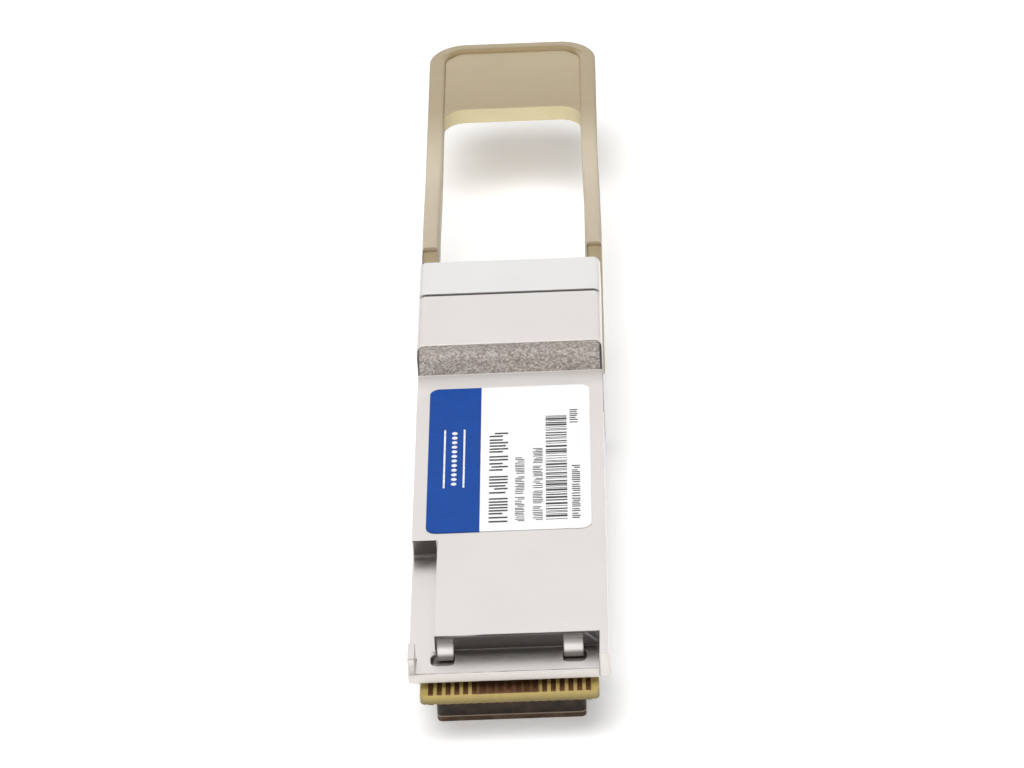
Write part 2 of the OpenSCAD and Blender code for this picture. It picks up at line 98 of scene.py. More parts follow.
class TransceiverSizes(bpy.types.PropertyGroup):
    """Edge breaks and printed details that the finish adds to the frame."""

    cast_edge: bpy.props.FloatProperty(
        name="Casting edge break", description="Width of the rounding on the castings' edges",
        default=0.14 * MM, unit="LENGTH", precision=5)
    strip_edge: bpy.props.FloatProperty(
        name="Slider edge break", description="Width of the rounding on the latch slider",
        default=0.12 * MM, unit="LENGTH", precision=5)
    tab_edge: bpy.props.FloatProperty(
        name="Tab edge rounding", description="Width of the rounding on the pull tab",
        default=0.42 * MM, unit="LENGTH", precision=5)
    gasket_crown: bpy.props.FloatProperty(
        name="Gasket shoulder", description="How far the foam falls away at the gasket's near edge",
        default=0.55 * MM, unit="LENGTH", precision=5)
    label_corner: bpy.props.FloatProperty(
        name="Label corner radius", description="Radius of the label's corners",
        default=1.0 * MM, unit="LENGTH", precision=5)
    band_width: bpy.props.FloatProperty(
        name="Label band width", description="Width of the coloured band along the label",
        default=5.1 * MM, unit="LENGTH", precision=5)


class TransceiverColours(bpy.types.PropertyGroup):
    """Base colours of the finishes."""

    nickel: bpy.props.FloatVectorProperty(
        name="Nickel plate", description="Satin nickel on the castings",
        subtype="COLOR", size=3, min=0, max=1, default=(0.80, 0.762, 0.738))
    bridge: bpy.props.FloatVectorProperty(
        name="Slider plate", description="Brighter nickel on the latch slider",
        subtype="COLOR", size=3, min=0, max=1, default=(0.845, 0.835, 0.82))
    tab: bpy.props.FloatVectorProperty(
        name="Tab plastic", description="Beige plastic of the pull tab",
        subtype="COLOR", size=3, min=0, max=1, default=(0.50, 0.415, 0.245))
    band: bpy.props.FloatVectorProperty(
        name="Label band", description="Coloured band of the label",
        subtype="COLOR", size=3, min=0, max=1, default=(0.0045, 0.064, 0.33))
    board: bpy.props.FloatVectorProperty(
        name="Board edge", description="Bare laminate at the card edge",
        subtype="COLOR", size=3, min=0, max=1, default=(0.40, 0.30, 0.09))
    pads: bpy.props.FloatVectorProperty(
        name="Contact pads", description="Plated contact pads",
        subtype="COLOR", size=3, min=0, max=1, default=(0.20, 0.095, 0.045))


class TransceiverStudio(bpy.types.PropertyGroup):
    """Camera."""

    azimuth: bpy.props.FloatProperty(
        name="Camera azimuth", description="Turn of the camera round the module",
        default=radians(1.752), subtype="ANGLE")
    elevation: bpy.props.FloatProperty(
        name="Camera elevation", description="Height of the camera over the horizon",
        default=radians(31.03), subtype="ANGLE")
    roll: bpy.props.FloatProperty(
        name="Camera roll", description="Roll of the camera about its own axis",
        default=radians(-3.033), subtype="ANGLE")
    distance: bpy.props.FloatProperty(
        name="Camera distance", description="Distance from the camera to its target",
        default=0.4964, unit="LENGTH")
    lens: bpy.props.FloatProperty(
        name="Lens", description="Focal length", default=175.26, unit="CAMERA")
    target: bpy.props.FloatVectorProperty(
        name="Target", description="Point that the camera looks at",
        subtype="TRANSLATION", size=3, default=(0.00015, -0.01069, 0.0085))


def sizes():
    return bpy.context.scene.transceiver_sizes


def colours():
    return bpy.context.scene.transceiver_colours


# ---------------------------------------------------------------- materials


class Finish:
    """A node material under construction, with short calls for the nodes that the finishes share."""

    def __init__(self, name):
        self.material = bpy.data.materials.new(name)
        self.material.use_nodes = True
        self.tree = self.material.node_tree
        self.shader = self.tree.nodes["Principled BSDF"]
        self.place = self.tree.nodes.new("ShaderNodeTexCoord").outputs["Object"]

    def node(self, kind, **settings):
        """Adds a node with its settings."""
        made = self.tree.nodes.new("ShaderNode" + kind)
        for key, value in settings.items():
            setattr(made, key, value)
        return made

    def link(self, source, target):
        self.tree.links.new(source, target)

    def set(self, **inputs):
        """Uniform values, set on the shader's own sockets."""
        for key, value in inputs.items():
            self.shader.inputs[key.replace("_", " ")].default_value = value

    def noise(self, scale, detail=3.0, stretch=(1, 1, 1)):
        """Grey noise of a size given in patches per metre, stretched along an axis if asked."""
        mapping = self.node("Mapping")
        mapping.inputs["Scale"].default_value = stretch
        texture = self.node("TexNoise")
        texture.inputs["Scale"].default_value = scale
        texture.inputs["Detail"].default_value = detail
        self.link(self.place, mapping.inputs["Vector"])
        self.link(mapping.outputs[0], texture.inputs["Vector"])
        return texture.outputs["Fac"]

    def ramp(self, value, *stops):
        """Colour ramp through (position, grey or colour) stops."""
        ramp = self.node("ValToRGB")
        elements = ramp.color_ramp.elements
        while len(elements) < len(stops):
            elements.new(0.5)
        for element, (position, colour) in zip(elements, stops):
            element.position = position
            grey = isinstance(colour, (int, float))
            element.color = (colour, colour, colour, 1) if grey else (*colour, 1)
        self.link(value, ramp.inputs["Fac"])
        return ramp.outputs["Color"]

    def mix(self, factor, first, second):
        """Mixes two colours, each a socket or a plain colour."""
        mix = self.node("Mix", data_type="RGBA")
        sockets = {s.identifier: s for s in mix.inputs}
        pairs = (("Factor_Float", factor), ("A_Color", first), ("B_Color", second))
        for key, value in pairs:
            if isinstance(value, bpy.types.NodeSocket):
                self.link(value, sockets[key])
            else:
                sockets[key].default_value = value if isinstance(value, (int, float)) else (*value, 1)
        return mix.outputs[2]

    def coordinates(self):
        """The three coordinates of the place, each a socket."""
        split = self.node("SeparateXYZ")
        self.link(self.place, split.inputs[0])
        return split.outputs

    def math(self, operation, first, second=0.0):
        """One step of arithmetic on two greys, each a socket or a plain number."""
        step = self.node("Math", operation=operation)
        for value, socket in zip((first, second), step.inputs):
            if isinstance(value, bpy.types.NodeSocket):
                self.link(value, socket)
            else:
                socket.default_value = value
        return step.outputs[0]

    def times(self, first, second):
        """The product of two greys."""
        return self.math("MULTIPLY", first, second)

    def along(self, axis, start, end):
        """0 at one station of an axis and 1 at another, level beyond them."""
        part = self.node("MapRange")
        self.link(self.coordinates()[axis], part.inputs["Value"])
        part.inputs["From Min"].default_value = start
        part.inputs["From Max"].default_value = end
        return part.outputs[0]

    def within(self, axis, low, high, soft=0.05 * MM):
        """1 where the place lies between two stations of one axis, 0 outside, with a soft edge."""
        rise = self.along(axis, low - soft, low + soft)
        return self.times(rise, self.along(axis, high + soft, high - soft))

    def rounded_distance(self, half_width, far):
        """Distance beyond a strip that ends at a station, in centimetres. It is even round the corners."""
        x, y, _ = self.coordinates()
        join = self.node("CombineXYZ")
        for socket, value, start in zip(join.inputs, (self.math("ABSOLUTE", x), y), (half_width, far)):
            self.link(self.math("MAXIMUM", self.math("SUBTRACT", value, start)), socket)
        length = self.node("VectorMath", operation="LENGTH")
        self.link(join.outputs[0], length.inputs[0])
        return self.times(length.outputs["Value"], 0.1 / MM)

    def tinted(self, colour, shade):
        """A colour multiplied by a grey."""
        mix = self.node("Mix", data_type="RGBA", blend_type="MULTIPLY")
        sockets = {socket.identifier: socket for socket in mix.inputs}
        sockets["Factor_Float"].default_value = 1
        self.link(colour, sockets["A_Color"])
        self.link(shade, sockets["B_Color"])
        return mix.outputs[2]

    def bump(self, height, strength, distance):
        """Roughens the shading by a grey taken as a height."""
        bump = self.node("Bump")
        bump.inputs["Strength"].default_value = strength
        bump.inputs["Distance"].default_value = distance
        self.link(height, bump.inputs["Height"])
        self.link(bump.outputs[0], self.shader.inputs["Normal"])

    def feed(self, socket, value):
        """Links a colour or a grey to one of the shader's inputs."""
        self.link(value, self.shader.inputs[socket])


def scaled(colour, factor):
    """A lighter or darker version of a colour."""
    return tuple(min(1, channel * factor) for channel in colour)


def nickel_finish(name, tint, rough=(0.29, 0.35), touches=None, grain=0.03):
    """Satin nickel over a casting: faint clouding, fine grain and slightly uneven gloss."""
    f = Finish(name)
    cloud = f.ramp(f.noise(160, 4), (0.35, scaled(tint, 0.985)), (0.65, scaled(tint, 1.01)))
    if touches:
        cloud, shine = touches(f, cloud)
        f.feed("Metallic", shine)
    else:
        f.set(Metallic=1.0)
    f.feed("Base Color", cloud)
    f.feed("Roughness", f.ramp(f.noise(1400, 3), (0.3, rough[0]), (0.7, rough[1])))
    f.bump(f.noise(5200, 2), grain, 0.01 * MM)
    return f.material


def rim_touch(f, cloud, shine, rim):
    """Turns the metal matt on the rear rim."""
    return f.mix(rim, cloud, (0.66, 0.625, 0.59)), f.mix(rim, shine, (0.25, 0.25, 0.25))


def lower_touches(f, cloud):
    """A nose under the board in painted shade with a painted reflection and highlight at its foot, a matt
    rim, and painted shade on the shelf where the cover's wall shades it.
    """
    low = node_box("base_shell")[0]
    board_low = node_box("main_board")[0].z
    shelf = board_low + BOARD_TO_SHELF
    sole = board_low - BOARD_TO_SOLE
    cover = low.y + RIM_TO_COVER

    # Nose: painted shade, with a browner foot of painted floor reflection and a painted highlight line over
    # it
    nose = f.times(f.within(1, -BEYOND, low.y + 6 * MM), f.within(2, -BEYOND, board_low - 0.1 * MM))
    painted_nose_shading = f.ramp(f.noise(900, 4), (0.4, (0.05, 0.042, 0.038)), (0.7, (0.08, 0.06, 0.048)))
    foot = f.ramp(f.noise(900, 4), (0.4, (0.10, 0.066, 0.045)), (0.7, (0.17, 0.12, 0.085)))
    painted_nose_shading = f.mix(f.within(2, -BEYOND, sole + 0.55 * MM, 0.03 * MM), painted_nose_shading, foot)
    bright = f.within(2, sole + 0.56 * MM, sole + 0.68 * MM, 0.03 * MM)
    painted_nose_shading = f.mix(bright, painted_nose_shading, (0.36, 0.29, 0.22))
    cloud = f.mix(nose, cloud, painted_nose_shading)

    # Rim, and the broken dark line behind its edge
    rim = f.times(f.within(1, -BEYOND, low.y + 0.19 * MM, 0.02 * MM), f.within(2, board_low, BEYOND))
    cloud, shine = rim_touch(f, cloud, (1, 1, 1), rim)
    broken = f.ramp(f.noise(420, 2, (1, 0.2, 0.2)), (0.38, 0.15), (0.62, 0.9))
    edge = f.within(1, low.y + 0.2 * MM, low.y + 0.3 * MM, 0.02 * MM)
    line = f.times(edge, f.within(2, shelf - 0.1 * MM, BEYOND))
    cloud = f.mix(f.times(line, broken), cloud, (0.16, 0.11, 0.09))

    # Shelf, darker towards the cover's wall: painted shade
    shade = f.ramp(f.along(1, cover - 1.0 * MM, cover - 0.1 * MM), (0, 1.0), (0.7, 0.55), (1, 0.25))
    under = f.times(f.within(1, cover - 1.2 * MM, cover), f.within(2, shelf - 0.3 * MM, shelf + 0.3 * MM))
    under = f.times(under, f.within(0, -6.9 * MM, 8.2 * MM, 0.3 * MM))
    cloud = f.mix(under, cloud, f.tinted(cloud, shade))
    return cloud, shine


def upper_touches(f, cloud):
    """A front wall in painted shade with a painted highlight at its foot, hooks painted from shade to
    highlight, and matt bands beside the gasket.
    """
    low = node_box("label_cover")[0]
    shelf = node_box("main_board")[0].z + BOARD_TO_SHELF
    front = low.y + RIM_TO_COVER
    step = front + COVER_TO_STEP
    gasket_low, gasket_high = node_box("emi_gasket")
    label = node_box("label")[0].z

    # Front wall and notch wall in painted shade, with the painted highlight at the foot that both have
    dark = f.ramp(f.noise(700, 3), (0.3, (0.04, 0.034, 0.03)), (0.7, (0.06, 0.052, 0.046)))
    high_wall = f.within(2, shelf - 1 * MM, label - 0.05 * MM, 0.03 * MM)
    wall = f.times(f.within(1, front - 0.06 * MM, front + 0.11 * MM, 0.02 * MM), high_wall)
    wall = f.times(wall, f.within(0, -8.8 * MM, 8.6 * MM))
    cloud = f.mix(wall, cloud, dark)
    notch = f.times(f.within(1, step - 0.06 * MM, step + 0.11 * MM, 0.02 * MM), high_wall)
    notch = f.times(notch, f.within(0, low.x + 0.2 * MM, low.x + 3.2 * MM))
    cloud = f.mix(notch, cloud, dark)
    foot = f.within(2, shelf - 1 * MM, shelf + 0.13 * MM, 0.03 * MM)
    foot = f.times(foot, f.within(1, front - 0.06 * MM, step + 0.06 * MM, 0.02 * MM))
    cloud = f.mix(foot, cloud, (0.62, 0.58, 0.55))
    shine = f.mix(foot, (1, 1, 1), (0.3, 0.3, 0.3))

    # Hooks, from a dark root down to a bright lip: painted shade and painted highlight
    hooks = f.within(1, -BEYOND, front - 0.08 * MM, 0.02 * MM)
    hooks = f.times(hooks, f.within(0, -7.2 * MM, 7.2 * MM))
    pale = f.ramp(f.along(2, shelf, shelf + 1.45 * MM),
                  (0, (0.26, 0.24, 0.22)), (0.12, (0.60, 0.57, 0.54)), (0.24, (0.85, 0.82, 0.79)),
                  (0.42, (0.80, 0.77, 0.74)), (0.56, (0.42, 0.39, 0.37)), (0.75, (0.24, 0.22, 0.205)),
                  (1, (0.12, 0.108, 0.10)))
    cloud = f.mix(hooks, cloud, pale)
    shine = f.mix(hooks, shine, (0.15, 0.15, 0.15))
    cloud, shine = rim_touch(f, cloud, shine, f.within(1, -BEYOND, low.y + 0.19 * MM, 0.02 * MM))

    # Beside the gasket: a fading shade towards the label, and the head's broken edge
    near = f.ramp(f.along(1, gasket_low.y - 5.2 * MM, gasket_low.y - 0.2 * MM),
                  (0, 1.0), (0.35, 0.4), (0.7, 0.1), (1, 0.1))
    shine = f.mix(f.within(1, gasket_low.y - 5.2 * MM, gasket_low.y), shine, near)
    fading = f.ramp(f.along(1, gasket_low.y - 3.0 * MM, gasket_low.y - 0.1 * MM),
                    (0, 1.0), (0.5, 0.86), (0.93, 0.68), (1, 0.95))
    shaded = f.within(1, gasket_low.y - 3.2 * MM, gasket_low.y)
    cloud = f.mix(shaded, cloud, f.tinted(cloud, fading))
    seam = f.within(1, gasket_high.y - 0.06 * MM, gasket_high.y + 0.2 * MM, 0.03 * MM)
    cloud = f.mix(seam, cloud, (0.74, 0.70, 0.66))
    shine = f.mix(seam, shine, (0.1, 0.1, 0.1))
    return cloud, shine


def gasket_finish():
    """Woven metallised fabric over foam: a salt-and-pepper grain, with painted shade where it turns down
    the sides.
    """
    f = Finish("gasket_fabric")
    f.set(Metallic=0.12, Specular_IOR_Level=0.3)
    grain = f.node("TexVoronoi", feature="F1")
    grain.inputs["Scale"].default_value = 5600
    f.link(f.place, grain.inputs["Vector"])
    speck = f.node("SeparateColor")
    f.link(grain.outputs["Color"], speck.inputs[0])
    fine = f.noise(4800, 2)
    weave = f.times(f.math("ADD", speck.outputs[0], fine), 0.5)
    cloth = f.ramp(weave, (0.22, (0.20, 0.172, 0.152)), (0.5, (0.325, 0.288, 0.262)),
                   (0.78, (0.50, 0.46, 0.43)))
    # Painted shade where the fabric turns down the sides
    turned = f.within(0, -8.98 * MM, 8.98 * MM, 0.04 * MM)
    f.feed("Base Color", f.mix(turned, (0.035, 0.033, 0.03), cloth))
    f.feed("Roughness", f.ramp(fine, (0.3, 0.45), (0.7, 0.75)))
    f.bump(weave, 0.4, 0.05 * MM)
    return f.material


def tab_finish(tint):
    """Moulded plastic with a fine spark texture, paler on the bend and the grip's near lip as painted
    highlight, with painted shade on the panel, along the far border and on the pockets' floors.
    """
    f = Finish("tab_plastic")
    f.set(IOR=1.45, Specular_IOR_Level=0.35)
    low, high = node_box("pull_tab")
    head = node_box("latch_slider")[1].y
    lip = high.y - GRIP_LENGTH
    plate_end = high.y - 1.5 * MM
    plate_top = high.z - PANEL_RECESS
    inner = high.x - GRIP_NARROWING - ARM_WIDTH
    edge = high.y - ARM_WIDTH

    def shift(red, green, blue):
        return tuple(min(1, channel * part) for channel, part in zip(tint, (red, green, blue)))

    # Arms and the grip's border, from the head to the far end, paler over the bend as painted highlight
    arms = f.ramp(f.along(1, low.y, high.y),
                  (0.30, shift(1.10, 1.12, 1.38)), (0.55, shift(1.19, 1.25, 1.62)),
                  (0.64, shift(1.16, 1.20, 1.52)), (0.76, shift(0.88, 0.86, 0.94)),
                  (0.98, shift(0.90, 0.89, 1.0)))

    # Panel, darker towards its pale near lip: painted shade
    plate = f.ramp(f.along(1, lip, plate_end),
                   (0.05, shift(0.86, 0.84, 0.90)), (0.9, shift(1.0, 1.0, 1.13)))
    across = f.within(0, -inner + 0.1 * MM, inner - 0.1 * MM)
    colour = f.mix(f.times(across, f.within(1, lip + 0.2 * MM, plate_end)), arms, plate)
    # The grip's near lip, paler as painted highlight
    round_lip = f.within(1, lip - 2.6 * MM, lip + 2.6 * MM)
    lip_side = f.times(f.within(0, -inner, inner, 0.02 * MM), round_lip)
    lip_side = f.times(lip_side, f.within(2, plate_top - 1.75 * MM, plate_top - 0.09 * MM, 0.03 * MM))
    colour = f.mix(lip_side, colour, shift(1.30, 1.36, 1.40))

    # Shade that follows the far border's inner edge round its corners
    corner = GRIP_CORNER - ARM_WIDTH
    ring = f.rounded_distance(inner - corner, edge - corner)
    shade = f.ramp(ring, (0.22, 0.0), (0.24, 1.0), (0.27, 0.9), (0.31, 0.0))
    shade = f.times(shade, f.within(1, edge - 1.2 * MM, BEYOND, 0.7 * MM))
    colour = f.mix(shade, colour, shift(0.60, 0.54, 0.46))

    # Floors of the arms' pockets, darker as painted shade
    floor_z = low.z + ARM_HEIGHT - POCKET_DEPTH
    floor = f.times(f.within(1, head + POCKET[0] - 0.1 * MM, head + POCKET[1] + 0.1 * MM),
                    f.within(2, floor_z - 0.25 * MM, floor_z + 0.25 * MM))
    floor = f.times(floor, f.within(0, 0.09 * MM - high.x, high.x - 0.09 * MM, 0.02 * MM))
    between = f.within(0, -inner - 0.1 * MM, inner + 0.1 * MM, 0.02 * MM)
    colour = f.mix(floor, colour, shift(0.80, 0.78, 0.82))
    colour = f.mix(f.times(floor, between), colour, arms)

    mottle = f.ramp(f.noise(220, 4), (0.35, 0.97), (0.65, 1.0))
    speckle = f.ramp(f.noise(5200, 2), (0.62, 0.0), (0.78, 0.3))
    f.feed("Base Color", f.mix(speckle, f.tinted(colour, mottle), scaled(tint, 0.8)))
    f.feed("Roughness", f.ramp(f.noise(900, 3), (0.3, 0.38), (0.7, 0.52)))
    f.bump(f.noise(7000, 3), 0.18, 0.03 * MM)
    return f.material


def label_finish(band):
    """Satin film, white with a coloured band along its left side."""
    f = Finish("label_film")
    low = node_box("label")[0]
    on_band = f.within(0, low.x - 1 * MM, low.x + sizes().band_width, 0.02 * MM)
    paper = f.ramp(f.noise(300, 3), (0.3, (0.96, 0.96, 0.96)), (0.7, (0.98, 0.98, 0.98)))
    ink = f.ramp(f.noise(700, 3), (0.3, scaled(band, 0.93)), (0.7, scaled(band, 1.05)))
    f.feed("Base Color", f.mix(on_band, paper, ink))
    f.set(Specular_IOR_Level=0.12)
    f.feed("Roughness", f.ramp(f.noise(1800, 2), (0.3, 0.42), (0.7, 0.5)))
    f.bump(f.noise(2600, 2), 0.04, 0.02 * MM)
    return f.material


def ink_finish(name, colour):
    """Printed ink of slightly uneven density."""
    f = Finish(name)
    f.feed("Base Color", f.ramp(f.noise(2500, 3), (0.3, scaled(colour, 0.8)), (0.7, scaled(colour, 1.1))))
    f.feed("Roughness", f.ramp(f.noise(1500, 2), (0.3, 0.4), (0.7, 0.5)))
    return f.material


def board_finish(edge):
    """Bare laminate at the card edge, dark low down and between the middle pads, then green mask."""
    f = Finish("board_laminate")
    low, high = node_box("main_board")
    pads = node_box("contact_pads_top")
    glass = f.ramp(f.noise(2600, 3, (1, 1, 0.4)), (0.3, scaled(edge, 0.92)), (0.7, scaled(edge, 1.06)))
    # Darker towards the bottom of the card edge
    layers = f.ramp(f.noise(1500, 3, (0.2, 1, 3)), (0.3, scaled(edge, 0.3)), (0.7, scaled(edge, 0.5)))
    lower = f.within(2, low.z - 1 * MM, low.z + 0.5 * MM, 0.4 * MM)
    resin = f.mix(lower, glass, layers)
    # Darker laminate between the middle pads on top
    middle_darker = f.times(f.within(0, -3.1 * MM, 2.7 * MM, 0.3 * MM), f.within(1, pads[0].y, pads[1].y, 0.03 * MM))
    middle_darker = f.times(middle_darker, f.within(2, high.z - 0.05 * MM, high.z + 1 * MM))
    resin = f.mix(middle_darker, resin, (0.11, 0.05, 0.022))
    mask = f.ramp(f.noise(500, 3), (0.3, (0.012, 0.075, 0.032)), (0.7, (0.02, 0.11, 0.045)))
    inside = f.within(1, low.y + 7.5 * MM, high.y + 1 * MM, 0.1 * MM)
    f.feed("Base Color", f.mix(inside, resin, mask))
    f.feed("Roughness", f.ramp(f.noise(2000, 2), (0.3, 0.35), (0.7, 0.5)))
    f.bump(f.noise(4200, 2), 0.08, 0.02 * MM)
    return f.material


def pad_finish(tint):
    """Worn plating with fine lines along each pad."""
    f = Finish("pad_plate")
    f.set(Metallic=0.75)
    f.feed("Base Color", f.ramp(f.noise(1500, 4), (0.3, scaled(tint, 0.75)), (0.7, scaled(tint, 1.2))))
    f.feed("Roughness", f.ramp(f.noise(3000, 2), (0.3, 0.28), (0.7, 0.42)))
    f.bump(f.noise(5000, 2, (6, 1, 1)), 0.06, 0.01 * MM)
    return f.material


def moulded_finish(name, colour, rough=(0.4, 0.55), grain=4500, metallic=0.0, strength=0.12):
    """A moulded, ground or plated surface: mottled colour, uneven gloss and a fine grain."""
    f = Finish(name)
    f.set(Metallic=metallic)
    f.feed("Base Color", f.ramp(f.noise(900, 3), (0.3, scaled(colour, 0.86)), (0.7, scaled(colour, 1.1))))
    f.feed("Roughness", f.ramp(f.noise(1900, 3), (0.3, rough[0]), (0.7, rough[1])))
    f.bump(f.noise(grain, 2), strength, 0.02 * MM)
    return f.material


def lens_finish():
    """Clear amber plastic."""
    amber = moulded_finish("lens_amber", (0.78, 0.56, 0.22), (0.08, 0.16), 3000, 0.0, 0.02)
    amber.node_tree.nodes["Principled BSDF"].inputs["Transmission Weight"].default_value = 0.6
    return amber


# ---------------------------------------------------------------- mesh helpers


def has_room(edge, face, width):
    """True when a strip of a face beside one of its edges is clear for the rounding."""
    loop = next(corner for corner in face.loops if corner.edge == edge)
    start, end = loop.vert.co, loop.link_loop_next.vert.co
    inward = face.normal.cross(end - start).normalized()
    stations = (start.lerp(end, part) for part in (0.08, 0.35, 0.65, 0.92))
    return all(
        bmesh.geometry.intersect_face_point(face, station + inward * depth)
        for station in stations for depth in (0.3 * width, width, 2.1 * width))


def weigh_edges(bm, width, turn):
    """Marks the sharp edges that the rounding takes. Those on a strip too narrow for it stay sharp."""
    weight = bm.edges.layers.float.new("bevel_weight_edge")
    bm.normal_update()
    for edge in bm.edges:
        if len(edge.link_faces) != 2 or edge.calc_face_angle() < radians(turn):
            continue
        if all(has_room(edge, face, width) for face in edge.link_faces):
            edge[weight] = 1.0
        else:
            edge.smooth = False


def finished(name, bm, body, material, replaced=(), edge=0.0, segments=3, turn=35):
    """Makes a piece from a bmesh: finish, rounded edges, and its body when one is given."""
    bmesh.ops.remove_doubles(bm, verts=bm.verts, dist=0.0005 * MM)
    for face in bm.faces:
        face.smooth = True
    if edge:
        weigh_edges(bm, edge, turn)
    mesh = bpy.data.meshes.new(name)
    bm.to_mesh(mesh)
    bm.free()
    piece = bpy.data.objects.new(name, mesh)
    bpy.context.scene.collection.objects.link(piece)
    mesh.materials.append(material)
    if edge:
        rounding = piece.modifiers.new("edges", "BEVEL")
        rounding.width = edge
        rounding.segments = segments
        rounding.limit_method = "WEIGHT"
        rounding.use_clamp_overlap = False
        rounding.miter_outer = "MITER_ARC"
        shading = piece.modifiers.new("normals", "WEIGHTED_NORMAL")
        shading.keep_sharp = True
    else:
        mesh.set_sharp_from_angle(angle=radians(turn))
    if body:
        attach(piece, body)
    if replaced:
        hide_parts(*replaced)
    return piece


def copied(node):
    """A merged copy of a CAD node's mesh, with its flat faces joined up again."""
    bm = bmesh.new()
    bm.from_mesh(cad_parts[node].data)
    bmesh.ops.remove_doubles(bm, verts=bm.verts, dist=0.002 * MM)
    bmesh.ops.dissolve_limit(bm, angle_limit=radians(0.4), verts=bm.verts, edges=bm.edges)
    return bm


def add_block(bm, low, high):
    """A closed box between two corners."""
    low, high = Vector(low), Vector(high)
    size = high - low
    matrix = Matrix.Translation((low + high) / 2) @ Matrix.Diagonal((*size, 1))
    bmesh.ops.create_cube(bm, size=1, matrix=matrix)


def add_disc(bm, centre, radius, depth, segments, upright=True):
    """A closed disc, upright along Z or lying along Y."""
    matrix = Matrix.Translation(centre)
    if not upright:
        matrix = matrix @ Matrix.Rotation(-pi / 2, 4, "X")
    bmesh.ops.create_cone(
        bm, cap_ends=True, segments=segments, radius1=radius, radius2=radius, depth=depth, matrix=matrix)


def finish_node(node, material):
    """Gives a CAD node that keeps its own shape its finish."""
    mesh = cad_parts[node].data
    mesh.materials.clear()
    mesh.materials.append(material)


def rounded_face(bm, low, high, level, radius, plane="XY", corner_steps=8):
    """A flat face with round corners between two corners of a plane, at one level of the third axis."""
    quad = bmesh.ops.create_grid(bm, x_segments=1, y_segments=1, size=0.5)["verts"]
    size = (high[0] - low[0], high[1] - low[1])
    middle = ((high[0] + low[0]) / 2, (high[1] + low[1]) / 2)
    bmesh.ops.scale(bm, vec=(size[0], size[1], 1), verts=quad)
    bmesh.ops.translate(bm, vec=(middle[0], middle[1], level), verts=quad)
    face = quad[0].link_faces[0]
    if radius:
        made = bmesh.ops.bevel(
            bm, geom=quad, offset=radius, offset_type="OFFSET", segments=corner_steps,
            profile=0.5, affect="VERTICES", clamp_overlap=False, material=-1)
        verts = list({v for f in made["faces"] for v in f.verts} | set(made["verts"]))
        face = max(verts[0].link_faces, key=lambda f: len(f.verts))
    if plane == "XZ":
        swap = Matrix(((1, 0, 0, 0), (0, 0, 1, 0), (0, 1, 0, 0), (0, 0, 0, 1)))
        bmesh.ops.transform(bm, matrix=swap, verts=face.verts)
    return face


def raised(bm, face, move):
    """Draws a face out along a vector."""
    made = bmesh.ops.extrude_face_region(bm, geom=[face])["geom"]
    verts = [v for v in made if isinstance(v, bmesh.types.BMVert)]
    bmesh.ops.translate(bm, vec=move, verts=verts)


def cut_away(bm, cutter):
    """Takes one closed bmesh out of another. The cutter is used up."""
    meshes = [bpy.data.meshes.new(name) for name in ("cut_body", "cutter")]
    for source, mesh in zip((bm, cutter), meshes):
        source.to_mesh(mesh)
    body, tool = (bpy.data.objects.new(mesh.name, mesh) for mesh in meshes)
    for item in (body, tool):
        bpy.context.scene.collection.objects.link(item)
    difference = body.modifiers.new("cut", "BOOLEAN")
    difference.operation = "DIFFERENCE"
    difference.solver = "EXACT"
    difference.object = tool
    result = body.evaluated_get(bpy.context.evaluated_depsgraph_get())
    bm.clear()
    bm.from_mesh(result.to_mesh())
    cutter.free()
    for item, mesh in zip((body, tool), meshes):
        bpy.data.objects.remove(item)
        bpy.data.meshes.remove(mesh)


# ---------------------------------------------------------------- pieces


class TRANSCEIVER_OT_castings(bpy.types.Operator):
    """Both halves of the die-cast shell, with their edges broken."""

    bl_idname = "transceiver.castings"
    bl_label = "Castings"

    def execute(self, context):
        tint = colours().nickel
        lower = nickel_finish("nickel_lower", tint, touches=lower_touches)
        upper = nickel_finish("nickel_upper", tint, touches=upper_touches)
        edge = sizes().cast_edge
        finished("base_casting", copied("base_shell"), HOUSING, lower, ("base_shell",), edge)
        finished("cover_casting", copied("label_cover"), HOUSING, upper,
                 ("label_cover",), edge)
        return {"FINISHED"}


